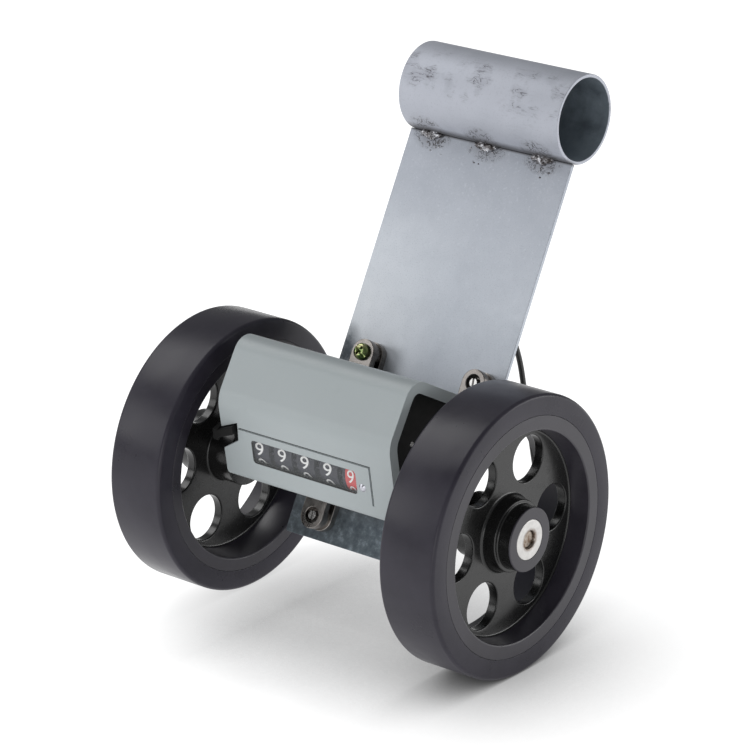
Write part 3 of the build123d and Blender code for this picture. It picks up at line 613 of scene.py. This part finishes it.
def wheel(side, s):
    def X(pts):
        return [(s * x, r) for x, r in pts]
    # tyre: smooth tread, soft shoulders, a shallow step where it meets the rim
    prof = rounded([(W0, TYRE_IN + 0.03), (W0, WR), (W1, WR), (W1, TYRE_IN + 0.03)], [0.16, 1.35, 1.35, 0.16], 6)
    crown = []
    for x, r in prof:
        crown.append((x, r))
    finish_obj(side + "_tyre_tread", lathe(X(crown), SEG), "wheelset", MT["tyre"], (side + "_tyre",))
    # rim ring, then web stubs that meet the perforated web in matching rings
    R_OUT, R_IN = 33.6, 16.4
    ring = [(WEB1, R_OUT), (WEB1, RIM_BORE - 1.0), (W1 - 0.2, RIM_BORE), (W1, RIM_BORE + 0.5), (W1, TYRE_IN - 0.03),
            (W0, TYRE_IN - 0.03), (W0, RIM_BORE + 0.8), (W0 + 0.4, RIM_BORE + 0.3), (WEB0, RIM_BORE - 0.9), (WEB0, R_OUT)]
    rad = [0, 1.3, 0.45, 0.45, 0.16, 0.16, 0.45, 0.3, 1.3, 0]
    ring = rounded(ring, rad, 5)
    hub = [(WEB0, R_IN), (WEB0, HUB), (48.0, HUB), (48.0, 3.02), (66.0, 3.02), (66.0, 6.88), (71.0, 6.88), (71.0, HUB),
           (66.0, HUB), (66.0, COLLAR - 0.9), (WEB1, COLLAR), (WEB1, R_IN)]
    rad = [0, 0.9, 0.5, 0.2, 0, 0, 0.15, 0.45, 0.5, 0.5, 1.1, 0]
    hub = rounded(hub, rad, 4)
    bm = bmesh.new()

    def band(prof):
        rings = [[bm.verts.new((s * x, r * math.cos(2 * math.pi * k / SEG), r * math.sin(2 * math.pi * k / SEG)))
                  for k in range(SEG)] for x, r in prof]
        for a, b in zip(rings, rings[1:]):
            for k in range(SEG):
                bm.faces.new((a[k], a[(k + 1) % SEG], b[(k + 1) % SEG], b[k]))
        return rings[0], rings[-1]
    r_top, r_bot = band(ring)
    h_bot, h_top = band(hub)
    # six lightening holes with rounded edges
    b = 0.5
    tops, bots = [], []
    for k in range(6):
        a = math.radians(90 + 60 * k)
        cx, cy = 25 * math.cos(a), 25 * math.sin(a)
        secs = []
        for q in range(5):
            t = math.pi / 2 * q / 4
            secs.append((8.0 + b * (1 - math.sin(t)), WEB1 - b * (1 - math.cos(t))))
        secs += [(r, WEB0 + (WEB1 - x)) for r, x in reversed(secs)]
        rings = [[bm.verts.new((s * x, cx + r * math.cos(2 * math.pi * j / 56), cy + r * math.sin(2 * math.pi * j / 56)))
                  for j in range(56)] for r, x in secs]
        for a1, b1 in zip(rings, rings[1:]):
            for j in range(56):
                bm.faces.new((a1[j], a1[(j + 1) % 56], b1[(j + 1) % 56], b1[j]))
        tops.append(rings[0]); bots.append(rings[-1])
    for outer, inner, holes in ((r_top, h_top, tops), (r_bot, h_bot, bots)):
        edges = []
        for ringv in [outer, inner] + holes:
            for j in range(len(ringv)):
                edges.append(bm.edges.get((ringv[j], ringv[(j + 1) % len(ringv)])))
        bmesh.ops.triangle_fill(bm, use_beauty=True, use_dissolve=False, edges=edges)
    # faces deep in the wheel take the web plastic, glossier than the rim; its darker tone is painted shade in the
    # recess
    for f in bm.faces:
        c = f.calc_center_median()
        r = math.hypot(c.y, c.z)
        f.material_index = 0 if (r > RIM_BORE - 0.9 or (r < HUB + 0.1 and abs(c.x) > 70.4)) else 1
    finish_obj(side + "_wheel", bm, "wheelset", None, (side + "_wheel_rim",), angle=40, mats=[MT["rim"], MT["web"]], weighted=True)
    # bright insert in the hub end, with the axle end just inside it
    ins = rounded([(66.05, 3.03), (66.05, 6.84), (71.0, 6.84), (71.0, 3.03)], [0, 0, 0.3, 0.45], 4)
    finish_obj(side + "_insert", lathe(X(ins), 96), "wheelset", MT["insert"], (side + "_hub_insert",))


wheel("right", 1)
wheel("left", -1)
ax = rounded([(-70.1, 0), (-70.1, 3.0), (70.1, 3.0), (70.1, 0)], [0, 0.5, 0.5, 0], 4)
finish_obj("axle_rod", lathe(ax, 64), "wheelset", MT["axle"], ("axle_shaft",))
for node in ("left_axle_spacer", "right_axle_spacer"):
    from_cad(node, node + "_tube", MT["black"], 0.25)
from_cad("hub_set_screws", "set_screws", MT["steel"], 0.12)

# ------------------------------------------------------------------ bracket
PW, PT, PN0, PU0, PU1 = 68.2, 1.5, 13.6, -21.0, 123.5
holes = [circle(x, u, 1.65, 32, True) for x in (-19.5, 27.5) for u in (-13.3, 44.3)]
outer = rounded([(-PW / 2, PU0), (PW / 2, PU0), (PW / 2, PU1), (-PW / 2, PU1)], [0.9, 0.9, 0.2, 0.2], 5)
bm = slab([outer] + holes, PN0, PN0 + PT, 0.22, lambda a, b, z: (a, z, b))
finish_obj("bracket_sheet", bm, "frame", MT["galv"], ("bracket_plate",), weighted=True)

TR, TI, TL, TN, TU = 15.35, 14.15, 66.8, 13.6, 138.9
prof = rounded([(-TL / 2, TI), (-TL / 2, TR), (TL / 2, TR), (TL / 2, TI)], [0.25, 0.3, 0.3, 0.25], 4)
inner_faces = []
n_prof = len(prof)


def tube_mat(i):
    a, b = prof[i], prof[(i + 1) % n_prof]
    return 1 if (a[1] < TI + 0.12 and b[1] < TI + 0.12) else 0


bm = lathe(prof, 160, (TN, TU), mat_of=tube_mat)
finish_obj("support_tube_shell", bm, "frame", None, ("support_tube",), mats=[MT["tube"], MT["tube_in"]])


# weld tacks: a lumpy puddle in the corner between the plate and the tube, with a rippled skin and spatter
def weld(name, x0, seed):
    bm = bmesh.new()
    lumps = [(0, 0, 2.0), (-1.7, 0.25, 1.65), (1.8, 0.15, 1.7), (-3.1, -0.1, 1.15), (3.3, 0.35, 1.25), (0.6, -1.0, 1.25), (-0.9, -0.9, 1.0)]
    for i, (dx, du, r) in enumerate(lumps):
        t = Matrix.Translation((x0 + dx, PN0 - 0.35, PU1 - 0.75 + du)) @ Matrix.Diagonal((1.15, 0.85, 0.95, 1))
        bmesh.ops.create_icosphere(bm, subdivisions=3, radius=r, matrix=t)
    me = bpy.data.meshes.new("tmp_weld")
    bm.to_mesh(me); bm.free()
    ob = bpy.data.objects.new("tmp_weld", me)
    scene.collection.objects.link(ob)
    rm = ob.modifiers.new("r", "REMESH")
    rm.mode = "VOXEL"
    rm.voxel_size = 0.16
    sm = ob.modifiers.new("s", "SMOOTH")
    sm.iterations = 4
    dg = bpy.context.evaluated_depsgraph_get()
    ev = bpy.data.meshes.new_from_object(ob.evaluated_get(dg))
    bm = bmesh.new()
    bm.from_mesh(ev)
    off = Vector((seed * 7.3, seed * 3.1, 0))
    bm.normal_update()
    for v in bm.verts:
        p = v.co
        k = noise.fractal(p * 0.9 + off, 1.0, 2.0, 4)
        ridge = abs(noise.noise(p * 1.7 + off))
        v.co = p + v.normal * (0.28 * k - 0.22 * ridge)
    bpy.data.objects.remove(ob)
    # cut away what would lie inside the plate and the tube
    keep = []
    for v in bm.verts:
        p = v.co
        if p.y > PN0 + 0.3:
            p.y = PN0 + 0.3
        d = Vector((p.y - TN, p.z - TU))
        if d.length < TR - 0.3:
            d = d.normalized() * (TR - 0.3)
            p.y, p.z = TN + d.x, TU + d.y
    return bm


allw = bmesh.new()
for i, x in enumerate((-25.0, -1.5, 22.0)):
    b = weld("w", x, i + 1)
    me = bpy.data.meshes.new("t")
    b.to_mesh(me); b.free()
    allw.from_mesh(me)
# a few beads of spatter on the plate below the tacks
for i in range(26):
    r1, r2, r3 = (noise.random() if False else (math.sin(i * 12.9898 + k * 78.233) * 43758.5453) % 1.0 for k in (1, 2, 3))
    x = (-25.0, -1.5, 22.0)[i % 3] + (r1 - 0.5) * 13
    u = PU1 - 1.8 - r2 * 5.5
    rr = 0.14 + 0.22 * r3
    bmesh.ops.create_icosphere(allw, subdivisions=2, radius=rr, matrix=Matrix.Translation((x, PN0 - rr * 0.2, u)) @ Matrix.Diagonal((1.3, 0.6, 1, 1)))
finish_obj("weld_tacks", allw, "frame", MT["weld"], ("weld_beads",), angle=60)

# ------------------------------------------------------------------ counter housing and its frame
H_BEND, H_FOOT = (-41.3, 14.3), (-24.0, -7.9)
FL = math.hypot(H_FOOT[0] - H_BEND[0], H_FOOT[1] - H_BEND[1])
FT = ((H_FOOT[0] - H_BEND[0]) / FL, (H_FOOT[1] - H_BEND[1]) / FL)
FI = (-FT[1], FT[0])


def paint_housing(bm):
    """Puts the black material on the inside of the housing and on the walls of its window."""
    for f in bm.faces:
        c = MI @ f.calc_center_median()
        no = (MI.to_3x3() @ f.normal).normalized()
        s_ = (c.y - H_BEND[0]) * FT[0] + (c.z - H_BEND[1]) * FT[1]
        d_ = (c.y - H_BEND[0]) * FI[0] + (c.z - H_BEND[1]) * FI[1]
        if -24.5 < c.x < 21.6 and 12.0 < s_ < 22.2 and 0.12 < d_ < 2.6:
            f.material_index = 1
        elif abs(no.x) < 0.5 and c.y < 5.4 and -35.9 < c.x < 36.2 and d_ > 1.5 and (-18.0 - c.y) * no.y + (15.0 - c.z) * no.z > 1.0:
            f.material_index = 1


from_cad("housing", "counter_housing", MT["housing"], 0.12, 2, paint=paint_housing, extra=(MT["deep"],))
from_cad("window_lens", "window_pane", MT["lens"], 0.0)
dome = rounded([(0.0, 0.0), (-0.55, 0.0), (-0.50, 0.80), (-0.02, 1.40), (0.0, 1.40)], [0, 0.9, 0.9, 0.12, 0], 6)
dome += [(0.0, 0.68), (2.3, 0.68), (2.3, 0.0)]
bm = lathe(dome, 48)
pin_n, pin_u = H_BEND[0] + 18.25 * FT[0], H_BEND[1] + 18.25 * FT[1]
turn = Matrix(((0, 1, 0, 23.15), (FI[0], 0, FT[0], pin_n), (FI[1], 0, FT[1], pin_u), (0, 0, 0, 1)))
bm.transform(turn)
finish_obj("panel_rivet", bm, "frame", MT["pin"], ("panel_pin",))
from_cad("left_end_plate", "left_end_cap", MT["deep"], 0.25)
from_cad("right_end_plate", "right_end_cap", MT["deep"], 0.15)
for node in ("left_bearing", "right_bearing"):
    from_cad(node, node + "_bush", MT["brass"], 0.15)
from_cad("base_plate", "counter_base", MT["nickel"], 0.3, 3)
from_cad("rear_straps", "mounting_straps", MT["nickel"], 0.3, 3)
from_cad("spacer_sleeves", "sleeves", MT["nickel"], 0.15)
from_cad("pan_screw", "pan_head_screw", MT["yellow"], 0.1)
from_cad("washers", "plain_washers", MT["yellow"], 0.12)
from_cad("hex_nut", "hexagon_nut", MT["yellow"], 0.12)
from_cad("slotted_screws", "slot_screws", MT["screw"], 0.1)
from_cad("stand_clips", "wire_clips", MT["tube"], 0.12)
from_cad("clip_rivets", "rivets", MT["steel"], 0.0)
from_cad("reset_lever", "reset_tab", MT["deep"], 0.3, 3)

# ------------------------------------------------------------------ numerals
DN = H_BEND[0] + 17.5 * FT[0] + 10.7 * FI[0]
DU = H_BEND[1] + 17.5 * FT[1] + 10.7 * FI[1]
DR = 9.5
DIGIT_H, DIGIT_W = 4.6, 1.25


def digit_mesh(ch):
    cu = bpy.data.curves.new("digit", "FONT")
    cu.body = ch
    cu.align_x = "CENTER"
    cu.size = 1.0
    cu.resolution_u = 6
    ob = bpy.data.objects.new("digit", cu)
    scene.collection.objects.link(ob)
    dg = bpy.context.evaluated_depsgraph_get()
    me = bpy.data.meshes.new_from_object(ob.evaluated_get(dg))
    bpy.data.objects.remove(ob)
    bm = bmesh.new()
    bm.from_mesh(me)
    ys = [v.co.y for v in bm.verts]
    xs = [v.co.x for v in bm.verts]
    y0, y1 = min(ys), max(ys)
    k = DIGIT_H / (y1 - y0)
    for v in bm.verts:
        v.co = Vector(((v.co.x - (min(xs) + max(xs)) / 2) * k * DIGIT_W, (v.co.y - (y0 + y1) / 2) * k, 0))
    bmesh.ops.remove_doubles(bm, verts=bm.verts, dist=1e-5)
    y = -DIGIT_H / 2 + 0.3
    while y < DIGIT_H / 2:
        bmesh.ops.bisect_plane(bm, geom=bm.verts[:] + bm.edges[:] + bm.faces[:], plane_co=(0, y, 0), plane_no=(0, 1, 0))
        y += 0.3
    ret = bmesh.ops.extrude_face_region(bm, geom=bm.faces[:])
    for v in ret["geom"]:
        if isinstance(v, bmesh.types.BMVert):
            v.co.z += 1.0
    return bm


DIGITS = {str(d): digit_mesh(str(d)) for d in range(10)}


def numerals(name, body, cx, repl=None, scale_x=1.0):
    bm = bmesh.new()
    for d in range(10):
        phi0 = 7.0 + 36.0 * ((9 - d) % 10)
        src = DIGITS[str(d)]
        me = bpy.data.meshes.new("d")
        src.to_mesh(me)
        part = bmesh.new()
        part.from_mesh(me)
        for v in part.verts:
            a, b, z = v.co
            r = DR - 0.06 + 0.11 * z
            phi = math.radians(phi0) + b / DR
            # outward normal is -FI, up the face is -FT
            n = DN - FI[0] * r * math.cos(phi) - FT[0] * r * math.sin(phi)
            u = DU - FI[1] * r * math.cos(phi) - FT[1] * r * math.sin(phi)
            v.co = Vector((cx + a * scale_x, n, u))
        part.to_mesh(me)
        part.free()
        bm.from_mesh(me)
        bpy.data.meshes.remove(me)
    return finish_obj(name, bm, body, MT["white"], angle=30)


D0, DP = -21.45, 9.71
for k, nm in enumerate(("thousands", "hundreds", "tens", "units")):
    from_cad("drum_" + nm, nm + "_wheel", MT["drum"], 0.12)
    numerals("numerals_" + nm, nm, D0 + k * DP)
from_cad("drum_tenths", "tenths_wheel", MT["drum"], 0.0)
from_cad("tenths_red_band", "tenths_band", MT["red"], 0.1)
numerals("numerals_tenths", "tenths", D0 + 4 * DP, scale_x=0.8)

# ------------------------------------------------------------------ inner works keep their CAD shape with their own finish
for node, key in {"idler_shaft": "steel", "drum_shaft": "steel", "carry_shaft": "steel", "drum_spacer": "black", "carry_spacer": "black",
                  "idler_spacer": "black", "reset_spring": "steel", "axle_gear": "brass", "idler_gear": "nylon",
                  "carry_pinion_units": "nylon", "carry_pinion_tens": "nylon", "carry_pinion_hundreds": "nylon",
                  "carry_pinion_thousands": "nylon", "reset_shaft": "steel", "reset_fingers": "steel", "wire_stand": "wire"}.items():
    ob = frame["nodes"][node]
    if not ob.material_slots:
        ob.data.materials.append(MT[key])
    for sl in ob.material_slots:
        sl.material = MT[key]

# ------------------------------------------------------------------ stage
bm = bmesh.new()
bmesh.ops.create_grid(bm, x_segments=1, y_segments=1, size=6.0)
me = bpy.data.meshes.new("floor")
bm.to_mesh(me); bm.free()
floor = bpy.data.objects.new("floor", me)
scene.collection.objects.link(floor)
SHADE_X0, SHADE_X1 = -0.066, -0.025
fm = Mat("floor_white", (0.25, 0.25, 0.252), 0.7, spec=0.1)
fm.color(fm.ramp(fm.noise(3, 2), [(0.3, (0.245, 0.245, 0.247)), (0.7, (0.255, 0.255, 0.257))]))
fm.b.inputs["Emission Color"].default_value = (1.0, 1.0, 1.0, 1)
ao = fm.node("ShaderNodeAmbientOcclusion")
ao.inputs["Distance"].default_value = 0.075
ao.samples = 16
# the shade gathers under the counter and on the right, and stays clear of the left wheel's outer side
side = fm.grey(fm.sep()[0], 0.0, 1.0, SHADE_X0, SHADE_X1)
lit = fm.math("POWER", ao.outputs["AO"], 1.5)
lit = fm.math("SUBTRACT", 1.0, fm.math("MULTIPLY", side, fm.math("SUBTRACT", 1.0, lit)))
fm.link(fm.math("MULTIPLY", lit, 1.06), fm.b.inputs["Emission Strength"])
me.materials.append(fm.m)

world = bpy.data.worlds.new("studio")
scene.world = world
world.use_nodes = True
bg = world.node_tree.nodes["Background"]
bg.inputs["Color"].default_value = (0.97, 0.985, 1.0, 1)
bg.inputs["Strength"].default_value = 0.26


def area(name, loc, target, size, energy, color=(1, 1, 1), size_y=None):
    li = bpy.data.lights.new(name, "AREA")
    li.energy = energy
    li.color = color
    li.shape = "RECTANGLE" if size_y else "SQUARE"
    li.size = size
    if size_y:
        li.size_y = size_y
    ob = bpy.data.objects.new(name, li)
    scene.collection.objects.link(ob)
    ob.location = loc
    ob.rotation_mode = "QUATERNION"
    ob.rotation_quaternion = (Vector(target) - Vector(loc)).to_track_quat("-Z", "Y")
    return ob


C = (0, 0, 0.08)
area("key_front_left", (-0.98, -1.02, 0.52), C, 0.75, 3.8, size_y=0.6)
area("top_left", (-0.95, -0.15, 1.35), C, 0.9, 8.0, size_y=0.9)
area("front_low", (0.75, -1.45, 0.28), C, 1.2, 4.2, size_y=0.5)
area("rear_right", (1.05, 1.05, 0.30), (0.07, 0.0, 0.04), 0.9, 5.0, size_y=0.4)

cam_d = bpy.data.cameras.new("camera")
cam = bpy.data.objects.new("camera", cam_d)
scene.collection.objects.link(cam)
cam_d.sensor_width = 36.0
cam_d.lens = 178.9
cam_d.clip_start, cam_d.clip_end = 0.05, 30
cam.location = AXLE + Vector((0.7278, -0.8911, 0.4674))
cam.rotation_mode = "QUATERNION"
cam.rotation_quaternion = Vector((-0.5896, 0.7288, -0.3482)).to_track_quat("-Z", "Y")
scene.camera = cam
scene.view_settings.view_transform = "Standard"
scene.view_settings.look = "None"
scene.view_settings.exposure = 0.0
scene.view_settings.gamma = 1.0
